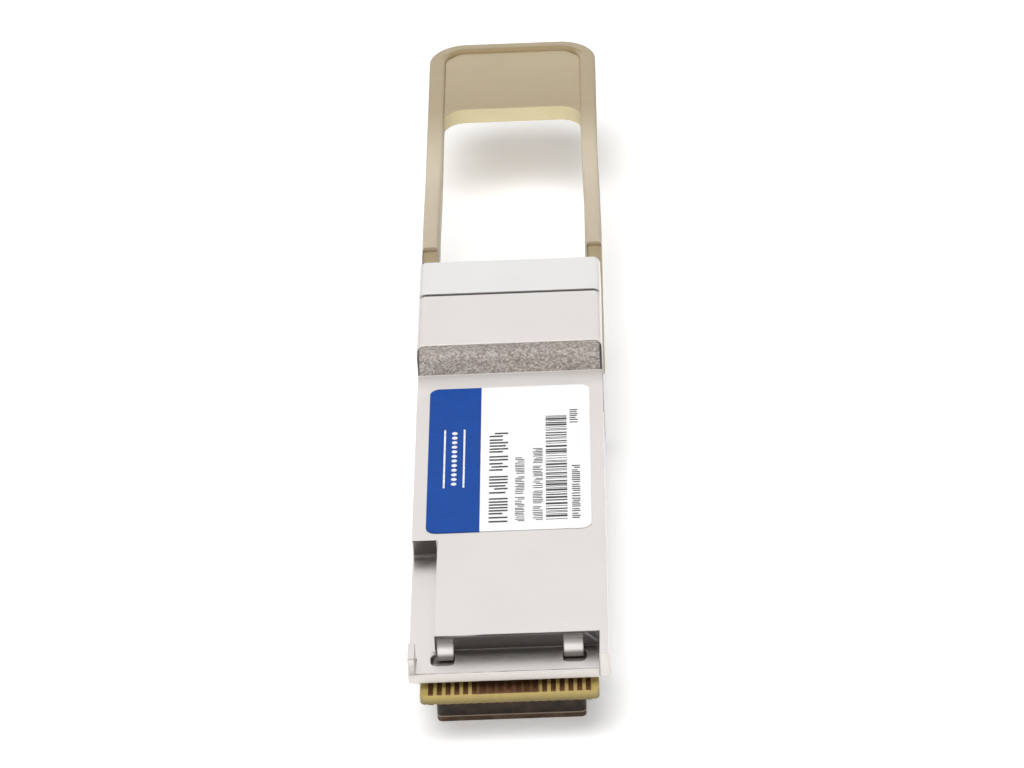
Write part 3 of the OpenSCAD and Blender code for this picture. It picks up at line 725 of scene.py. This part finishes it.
class TRANSCEIVER_OT_gasket(bpy.types.Operator):
    """The fabric gasket: a ring of foam with a round shoulder towards the label, grained all over."""

    bl_idname = "transceiver.gasket"
    bl_label = "EMI gasket"

    def execute(self, context):
        low, high = node_box("emi_gasket")
        label_low = node_box("label")[0].z
        side = 0.25 * MM  # the gasket's thickness beside the neck
        neck_low = (low.x + side + 0.02 * MM, label_low - 8.43 * MM)
        neck_high = (high.x - side - 0.02 * MM, label_low - 0.07 * MM)
        shoulder = sizes().gasket_crown
        rows = 16
        corner = 0.75 * MM
        bm = bmesh.new()
        loops = []
        for row in range(rows + 1):
            across = row / rows
            drop = shoulder * (1 - sin(min(1, across / 0.5) * pi / 2) ** 0.9)
            drop += 0.03 * MM * max(0, (across - 0.9) / 0.1) ** 2
            sunk = side * 0.7 * drop / shoulder
            y = low.y + (high.y - low.y) * across
            row_low = (low.x + sunk, low.z + drop)
            row_high = (high.x - sunk, high.z - drop)
            loops.append(self.ring(bm, row_low, row_high, y, corner))
        for y in (high.y, low.y):
            loops.append(self.ring(bm, neck_low, neck_high, y, 0.15 * MM))
        outer = {v for loop in loops[1:rows] for e in loop for v in e.verts}
        for first, second in zip(loops, loops[1:] + loops[:1]):
            bmesh.ops.bridge_loops(bm, edges=first + second)
        chance = random.Random(7)
        for vert in sorted(outer, key=lambda v: tuple(round(c, 7) for c in v.co)):
            centre = Vector((0, vert.co.y, (low.z + high.z) / 2))
            inward = (centre - vert.co).normalized()
            vert.co += inward * chance.uniform(0.0, 0.035) * MM
        bmesh.ops.recalc_face_normals(bm, faces=bm.faces)
        finished("gasket_ring", bm, HOUSING, gasket_finish(), ("emi_gasket",), turn=60)
        return {"FINISHED"}

    def ring(self, bm, low, high, y, radius):
        """One closed loop of edges round the neck, cut fine enough to take the grain."""
        face = rounded_face(bm, low, high, y, radius, plane="XZ", corner_steps=5)
        edges = list(face.edges)
        bmesh.ops.delete(bm, geom=[face], context="FACES_ONLY")
        for reach, cuts in ((12 * MM, 80), (3 * MM, 40)):
            longer = [e for e in edges if e.calc_length() > reach]
            made = bmesh.ops.subdivide_edges(bm, edges=longer, cuts=cuts)
            new = [g for g in made["geom_inner"] + made["geom_split"] if isinstance(g, bmesh.types.BMEdge)]
            edges = [e for e in set(edges) | set(new) if e.is_valid]
        return edges


class TRANSCEIVER_OT_label(bpy.types.Operator):
    """The film label with its coloured band, and plain printed marks in place of any wording."""

    bl_idname = "transceiver.label"
    bl_label = "Label"

    def execute(self, context):
        low, high = node_box("label")
        bm = bmesh.new()
        face = rounded_face(bm, low.xy, high.xy, low.z, sizes().label_corner)
        raised(bm, face, (0, 0, high.z - low.z - 0.012 * MM))
        bmesh.ops.recalc_face_normals(bm, faces=bm.faces)
        film = label_finish(colours().band)
        finished("label_film", bm, HOUSING, film, ("label",), 0.03 * MM, 2)
        self.origin = low
        self.top = high.z
        self.chance = random.Random(28)
        dark = bmesh.new()
        # Places and lengths in millimetres from the label's near left corner
        self.words(dark, 5.95, 1.8, [4.3, 3.3, 2.5, 3.6], 1.4, 0.27)
        self.words(dark, 8.45, 0.9, [4.4, 3.2, 2.9], 1.5, 0.14)
        self.words(dark, 10.15, 0.95, [2.5, 2.3, 1.7, 2.0, 2.6], 1.6, 0.14)
        self.bars(dark, 11.4, 2.05, 1.6, 20.4)
        self.words(dark, 13.9, 0.8, [9.4], 1.7, 0.18)
        self.words(dark, 13.75, 0.8, [2.4], 19.0, 0.18)
        black = ink_finish("label_ink_dark", (0.02, 0.02, 0.022))
        finished("label_marks", dark, HOUSING, black)
        pale = bmesh.new()
        self.port_sign(pale, 2.55, 13.1)
        white = ink_finish("label_ink_pale", (0.9, 0.9, 0.92))
        finished("label_sign", pale, HOUSING, white)
        return {"FINISHED"}

    def mark(self, bm, across, along):
        """A printed patch between two places across the label and two along it, in millimetres."""
        corner = [(self.origin.x + a * MM, self.origin.y + b * MM) for a, b in zip(across, along)]
        add_block(bm, (*corner[0], self.top - 0.02 * MM), (*corner[1], self.top - 0.002 * MM))

    def words(self, bm, across, height, lengths, start, stroke):
        """A line of plain strokes, grouped as words are but with no letter in it."""
        for length in lengths:
            place = start
            while place < start + length:
                short = height * self.chance.choice((0, 0, 0.12, 0.28))
                side = self.chance.random() < 0.5
                ends = (across + short, across + height) if side else (across, across + height - short)
                self.mark(bm, ends, (place, place + stroke))
                place += stroke * self.chance.choice((1.9, 2.1, 2.6))
            start += length + 3.0 * stroke

    def bars(self, bm, across, height, start, end):
        """A row of bars and gaps of mixed widths."""
        place = start
        while place < end:
            width = 0.11 * self.chance.choice((1, 1, 1, 2, 2, 3))
            self.mark(bm, (across, across + height), (place, min(place + width, end)))
            place += width + 0.11 * self.chance.choice((1, 1, 2, 2, 3))

    def port_sign(self, bm, across, along):
        """A sign for the fibre port: twelve dots in a row between two lines."""
        for side in (-1, 1):
            line = across + side * 0.95
            self.mark(bm, (line - 0.09, line + 0.09), (along - 5.3, along + 5.3))
        for dot in range(12):
            place = along + (dot - 5.5) * 0.84
            centre = (self.origin.x + across * MM, self.origin.y + place * MM, self.top - 0.011 * MM)
            add_disc(bm, centre, 0.27 * MM, 0.018 * MM, segments=20)


class TRANSCEIVER_OT_slider(bpy.types.Operator):
    """The latch slider, its two return springs and the housing screws."""

    bl_idname = "transceiver.slider"
    bl_label = "Latch slider and springs"

    def execute(self, context):
        bright = nickel_finish("nickel_slider", colours().bridge, (0.32, 0.36), grain=0.01)
        finished("slider_strip", copied("latch_slider"), PULLER, bright,
                 ("latch_slider",), sizes().strip_edge)
        steel = moulded_finish("spring_wire", (0.45, 0.44, 0.43), (0.22, 0.32), 6000, 1.0, 0.05)
        for side in ("left", "right"):
            self.spring("return_spring_" + side, steel)
        plain = moulded_finish("screw_plate", (0.55, 0.54, 0.52), (0.25, 0.38), 5000, 1.0, 0.06)
        finished("screws", copied("housing_screws"), HOUSING, plain,
                 ("housing_screws",), 0.07 * MM, 2, 50)
        return {"FINISHED"}

    def spring(self, node, steel):
        """A coil wound by one long spin of its wire's section."""
        low, high = node_box(node)
        wire = 0.13 * MM  # radius of the wire
        turns, steps = 9, 32
        centre = (low + high) / 2
        radius = (high.x - low.x) / 2 - wire
        bm = bmesh.new()
        section = bmesh.ops.create_circle(bm, cap_ends=True, radius=wire, segments=12)["verts"]
        bmesh.ops.translate(bm, vec=(centre.x + radius, low.y + wire, centre.z), verts=section)
        pitch = (high.y - low.y - 2 * wire) / (turns * steps)
        bmesh.ops.spin(
            bm, geom=list(bm.faces), cent=(centre.x, low.y + wire, centre.z), axis=(0, 1, 0),
            dvec=(0, pitch, 0), angle=2 * pi * turns, steps=turns * steps, use_merge=False)
        bmesh.ops.recalc_face_normals(bm, faces=bm.faces)
        coil = finished(node + "_coil", bm, None, steel, (node,), turn=60)
        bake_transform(coil)


class TRANSCEIVER_OT_tab(bpy.types.Operator):
    """The moulded pull tab: one bead swept from arm to arm, and the grip's recessed panel."""

    bl_idname = "transceiver.tab"
    bl_label = "Pull tab"

    def execute(self, context):
        self.low, self.high = node_box("pull_tab")
        plastic = tab_finish(colours().tab)
        self.grip_half = self.high.x - GRIP_NARROWING
        self.arm_top = self.low.z + ARM_HEIGHT
        self.grip_bottom = self.high.z - GRIP_HEIGHT
        self.head_end = node_box("latch_slider")[1].y
        self.rise = (self.head_end + 20 * MM, self.head_end + 34 * MM)
        self.draw = (self.head_end + 17 * MM, self.head_end + 33 * MM)
        bead = self.bead()
        self.cut_pockets(bead)
        finished("tab_bead", bead, PULLER, plastic, ("pull_tab",), turn=38)
        finished("tab_panel", self.panel(), PULLER, plastic, (), 0.22 * MM, 4)
        return {"FINISHED"}

    def ease(self, y, span):
        """Smooth step from 0 to 1 between two stations."""
        part = max(0.0, min(1.0, (y - span[0]) / (span[1] - span[0])))
        return (1 - cos(pi * part)) / 2

    def station(self, x, y, heading):
        """Where the bead's section goes: its middle, its heading and its height."""
        up = self.ease(y, self.rise)
        bottom = self.low.z + (self.grip_bottom - self.low.z) * up
        top = self.arm_top + (self.high.z - self.arm_top) * up
        flatter = (top - bottom) / (self.arm_top - self.low.z)
        middle = Matrix.Translation((x, y, (bottom + top) / 2))
        return middle @ Matrix.Rotation(heading, 4, "Z") @ Matrix.Diagonal((1, 1, flatter, 1))

    def route(self):
        """Stations from the left arm's root round the grip to the right arm's root."""
        ys = [self.low.y, self.head_end + 10 * MM]
        ys += [self.draw[0] + (self.rise[1] - self.draw[0]) * i / 24 for i in range(25)]
        corner_y = self.high.y - GRIP_CORNER
        ys.append(corner_y)
        wide, narrow = self.high.x, self.grip_half
        half = [(wide + (narrow - wide) * self.ease(y, self.draw) - ARM_WIDTH / 2, y) for y in ys]
        reach = GRIP_CORNER - ARM_WIDTH / 2
        bends = 14
        stations = [self.station(-x, y, 0) for x, y in half]
        for side, start in ((-1, 0), (1, pi / 2)):
            for i in range(1, bends + 1):
                turn = start + pi / 2 * i / bends
                x = side * (narrow - GRIP_CORNER) - reach * cos(turn)
                stations.append(self.station(x, corner_y + reach * sin(turn), -turn))
        stations += [self.station(x, y, -pi) for x, y in reversed(half[:-1])]
        return stations

    def bead(self):
        """The rounded section drawn from station to station."""
        bm = bmesh.new()
        high = (ARM_WIDTH / 2, ARM_HEIGHT / 2)
        low = (-high[0], -high[1])
        face = rounded_face(bm, low, high, 0, sizes().tab_edge, plane="XZ", corner_steps=6)
        before = Matrix.Identity(4)
        for place, station in enumerate(self.route()):
            if place == 1:
                made = bmesh.ops.extrude_face_region(bm, geom=[face])["geom"]
                face = next(g for g in made if isinstance(g, bmesh.types.BMFace))
            elif place:
                face = bmesh.ops.extrude_discrete_faces(bm, faces=[face])["faces"][0]
            bmesh.ops.transform(bm, matrix=station @ before.inverted(), verts=face.verts)
            before = station
        bmesh.ops.recalc_face_normals(bm, faces=bm.faces)
        return bm

    def cut_pockets(self, bead):
        """Sinks a round-cornered pocket into the top of each arm, just in front of the head."""
        cutter = bmesh.new()
        wall = 0.17 * MM
        for side in (-1, 1):
            across = sorted((side * (self.high.x - ARM_WIDTH + wall), side * (self.high.x - 0.05 * MM)))
            low = (across[0], self.head_end + POCKET[0])
            high = (across[1], self.head_end + POCKET[1])
            face = rounded_face(cutter, low, high, self.arm_top - POCKET_DEPTH, 0.32 * MM)
            raised(cutter, face, (0, 0, 2 * MM))
        bmesh.ops.recalc_face_normals(cutter, faces=cutter.faces)
        cut_away(bead, cutter)

    def panel(self):
        """The thin plate between the arms, with a fillet into each of them at its near edge."""
        inner = self.grip_half - ARM_WIDTH
        hidden = inner + 0.8 * MM  # the plate's sides, inside the bead
        near = self.high.y - GRIP_LENGTH
        root = near - 3 * MM
        far = self.high.y - 0.9 * MM
        half = [(hidden, far - 3 * MM), (hidden, root), (inner, root), (inner, near)]
        outline = [(-x, y) for x, y in half] + [(x, y) for x, y in reversed(half)]
        outline += [(hidden - 3 * MM, far), (3 * MM - hidden, far)]
        bm = bmesh.new()
        verts = [bm.verts.new((x, y, self.grip_bottom)) for x, y in outline]
        bm.faces.new(verts)
        corners = [v for v in verts if abs(v.co.y - near) < 0.01 * MM]
        bmesh.ops.bevel(
            bm, geom=corners, offset=ROOT_FILLET, offset_type="OFFSET", segments=14, profile=0.5,
            affect="VERTICES", clamp_overlap=False, material=-1)
        bm.faces.ensure_lookup_table()
        raised(bm, bm.faces[0], (0, 0, GRIP_HEIGHT - PANEL_RECESS))
        bmesh.ops.recalc_face_normals(bm, faces=bm.faces)
        return bm


class TRANSCEIVER_OT_card_edge(bpy.types.Operator):
    """The board and its contact pads."""

    bl_idname = "transceiver.card_edge"
    bl_label = "Card edge"

    def execute(self, context):
        laminate = board_finish(colours().board)
        finished("board", copied("main_board"), HOUSING, laminate,
                 ("main_board",), 0.08 * MM, 2)
        plate = pad_finish(colours().pads)
        for node in ("contact_pads_top", "contact_pads_bottom"):
            finished(node.replace("contact_", ""), copied(node), HOUSING, plate,
                     (node,), 0.015 * MM, 2)
        return {"FINISHED"}


class TRANSCEIVER_OT_port(bpy.types.Operator):
    """The fibre port: receptacle, ferrule with its fibre ends, and guide pins."""

    bl_idname = "transceiver.port"
    bl_label = "Fibre port"

    def execute(self, context):
        black = moulded_finish("port_plastic", (0.035, 0.035, 0.038), (0.38, 0.5), 5200)
        finished("port_shell", copied("port_receptacle"), HOUSING, black,
                 ("port_receptacle",), 0.1 * MM, 2)
        glassy = moulded_finish("ferrule_body", (0.07, 0.07, 0.075), (0.3, 0.42), 6500)
        finished("ferrule_block", copied("ferrule"), HOUSING, glassy,
                 ("ferrule",), 0.05 * MM, 2)
        steel = moulded_finish("pin_polish", (0.66, 0.65, 0.64), (0.12, 0.2), 7000, 1.0, 0.03)
        finished("guide_pin_pair", copied("guide_pins"), HOUSING, steel,
                 ("guide_pins",), turn=30)
        finish_node("pin_keeper", steel)
        self.fibre_ends()
        return {"FINISHED"}

    def fibre_ends(self):
        """Twelve polished fibre ends across the ferrule's face."""
        low, high = node_box("ferrule")
        middle = (low.z + high.z) / 2
        bm = bmesh.new()
        for fibre in range(12):
            centre = ((fibre - 5.5) * 0.25 * MM, high.y + 0.002 * MM, middle)
            add_disc(bm, centre, 0.0625 * MM, 0.01 * MM, segments=16, upright=False)
        glass = moulded_finish("fibre_glass", (0.7, 0.75, 0.78), (0.05, 0.1), 3000, 0.0, 0.01)
        finished("fibre_faces", bm, HOUSING, glass)


class TRANSCEIVER_OT_electronics(bpy.types.Operator):
    """Finishes of the chips and optics sealed inside the shell."""

    bl_idname = "transceiver.electronics"
    bl_label = "Inner pieces"

    def execute(self, context):
        package = moulded_finish("chip_package", (0.03, 0.03, 0.032), (0.45, 0.6), 4000)
        for node in ("transmit_retimer", "receive_retimer", "laser_driver", "receiver_amplifier",
                     "microcontroller", "voltage_regulator"):
            finish_node(node, package)
        finish_node("power_inductors", moulded_finish("ferrite", (0.09, 0.09, 0.095), (0.5, 0.65), 2500))
        finish_node("capacitors", moulded_finish("ceramic_caps", (0.42, 0.29, 0.17), (0.4, 0.55), 3000))
        soft = moulded_finish("gap_pad", (0.42, 0.52, 0.62), (0.6, 0.8), 1800, 0.0, 0.3)
        finish_node("thermal_pads", soft)
        die = moulded_finish("die_metal", (0.62, 0.5, 0.26), (0.15, 0.3), 5000, 0.9, 0.05)
        for node in ("laser_array", "photodiode_array"):
            finish_node(node, die)
        finish_node("lens_block", lens_finish())
        finish_node("fibre_ribbon", moulded_finish("ribbon_aqua", (0.1, 0.55, 0.58), (0.25, 0.35), 1500))
        finish_node("ferrule_boot", moulded_finish("boot_rubber", (0.025, 0.025, 0.025), (0.6, 0.8), 2500))
        return {"FINISHED"}


# ---------------------------------------------------------------- studio


class TRANSCEIVER_OT_studio(bpy.types.Operator):
    """Pale floor, soft lights and the camera."""

    bl_idname = "transceiver.studio"
    bl_label = "Studio"

    def execute(self, context):
        self.floor()
        self.lights()
        self.camera()
        return {"FINISHED"}

    def floor(self):
        """A wide pale floor, tilted to meet the nose and the head, as the module rests on both."""
        head = node_box("emi_gasket")[1]
        rim = node_box("base_shell")[0]
        tilt = -SOLE_HEIGHT / (head.y - rim.y - RIM_TO_NOSE)
        bm = bmesh.new()
        bmesh.ops.create_grid(bm, x_segments=2, y_segments=2, size=4)
        matrix = Matrix.Translation((0, head.y, -0.01 * MM)) @ Matrix.Rotation(tilt, 4, "X")
        bmesh.ops.transform(bm, matrix=matrix, verts=bm.verts)
        mesh = bpy.data.meshes.new("floor")
        bm.to_mesh(mesh)
        bm.free()
        floor = bpy.data.objects.new("floor", mesh)
        bpy.context.scene.collection.objects.link(floor)
        f = Finish("floor_paper")
        f.set(Roughness=0.9, Specular_IOR_Level=0.1)
        f.set(Emission_Color=(1, 1, 1, 1), Emission_Strength=0.3)
        f.feed("Base Color", f.ramp(f.noise(6, 2), (0.3, (0.92, 0.92, 0.92)), (0.7, (0.93, 0.93, 0.93))))
        mesh.materials.append(f.material)

    def softbox(self, name, place, size, power, diffuse=True, glossy=True):
        """A large soft light that faces the module and stays out of the camera's sight."""
        light = bpy.data.lights.new(name, "AREA")
        light.shape = "RECTANGLE"
        light.size, light.size_y = size
        light.energy = power
        lamp = bpy.data.objects.new(name, light)
        lamp.location = place
        lamp.rotation_mode = "QUATERNION"
        lamp.rotation_quaternion = (-Vector(place)).to_track_quat("-Z", "Y")
        lamp.visible_camera = False
        lamp.visible_diffuse = diffuse
        lamp.visible_glossy = glossy
        bpy.context.scene.collection.objects.link(lamp)

    def lights(self):
        """Soft light for the matt surfaces, and even cards that only the gloss of the metal sees."""
        self.softbox("overhead", (-0.16, -0.16, 1.1), (1.1, 1.1), 13.8, glossy=False)
        self.softbox("front_fill", (0.05, -0.95, 0.36), (1.6, 0.5), 6.5, glossy=False)
        self.softbox("back_card", (0, 1.0, 0.68), (3.4, 1.5), 15.5, diffuse=False)
        self.softbox("front_card", (0, -1.25, 0.95), (3.4, 1.3), 3.6, diffuse=False)
        self.softbox("top_card", (0, 0.14, 1.2), (3.4, 1.05), 10.5, diffuse=False)
        world = bpy.data.worlds.new("studio")
        bpy.context.scene.world = world
        world.use_nodes = True
        backdrop = world.node_tree.nodes["Background"]
        backdrop.inputs["Color"].default_value = (1, 0.97, 0.94, 1)
        backdrop.inputs["Strength"].default_value = 0.018
        bpy.context.scene.view_settings.view_transform = "Standard"
        bpy.context.scene.view_settings.look = "None"

    def camera(self):
        """A long lens on the module from behind the card edge."""
        studio = bpy.context.scene.transceiver_studio
        turn, rise, roll = studio.azimuth, studio.elevation, studio.roll
        back = Vector((sin(turn) * cos(rise), -cos(turn) * cos(rise), sin(rise)))
        data = bpy.data.cameras.new("camera")
        data.lens = studio.lens
        data.sensor_width = 36
        data.dof.use_dof = False
        data.clip_start, data.clip_end = 0.01, 20
        camera = bpy.data.objects.new("camera", data)
        camera.rotation_mode = "QUATERNION"
        level = (-back).to_track_quat("-Z", "Y")
        camera.rotation_quaternion = Matrix.Rotation(roll, 3, back).to_quaternion() @ level
        camera.location = Vector(studio.target) + back * studio.distance
        bpy.context.scene.collection.objects.link(camera)
        bpy.context.scene.camera = camera


class TRANSCEIVER_PT_panel(bpy.types.Panel):
    """Lists the steps that finish the module."""

    bl_label = "Transceiver"
    bl_idname = "TRANSCEIVER_PT_panel"
    bl_space_type = "VIEW_3D"
    bl_region_type = "UI"
    bl_category = "Transceiver"

    def draw(self, context):
        layout = self.layout
        for step in STEPS:
            layout.operator(step.bl_idname, text=step.bl_label)
        for group in (sizes(), colours(), context.scene.transceiver_studio):
            box = layout.box()
            for name in type(group).__annotations__:
                box.prop(group, name)


STEPS = (
    TRANSCEIVER_OT_castings, TRANSCEIVER_OT_gasket, TRANSCEIVER_OT_label, TRANSCEIVER_OT_slider,
    TRANSCEIVER_OT_tab, TRANSCEIVER_OT_card_edge, TRANSCEIVER_OT_port, TRANSCEIVER_OT_electronics,
    TRANSCEIVER_OT_studio,
)
GROUPS = (
    (TransceiverSizes, "transceiver_sizes"), (TransceiverColours, "transceiver_colours"),
    (TransceiverStudio, "transceiver_studio"),
)


def register():
    for group, name in GROUPS:
        bpy.utils.register_class(group)
        setattr(bpy.types.Scene, name, bpy.props.PointerProperty(type=group))
    for item in (*STEPS, TRANSCEIVER_PT_panel):
        bpy.utils.register_class(item)


def unregister():
    for item in (TRANSCEIVER_PT_panel, *reversed(STEPS)):
        bpy.utils.unregister_class(item)
    for group, name in reversed(GROUPS):
        delattr(bpy.types.Scene, name)
        bpy.utils.unregister_class(group)


def main():
    register()
    for step in STEPS:
        area, action = step.bl_idname.split(".")
        getattr(getattr(bpy.ops, area), action)()


if __name__ == "__main__":
    main()
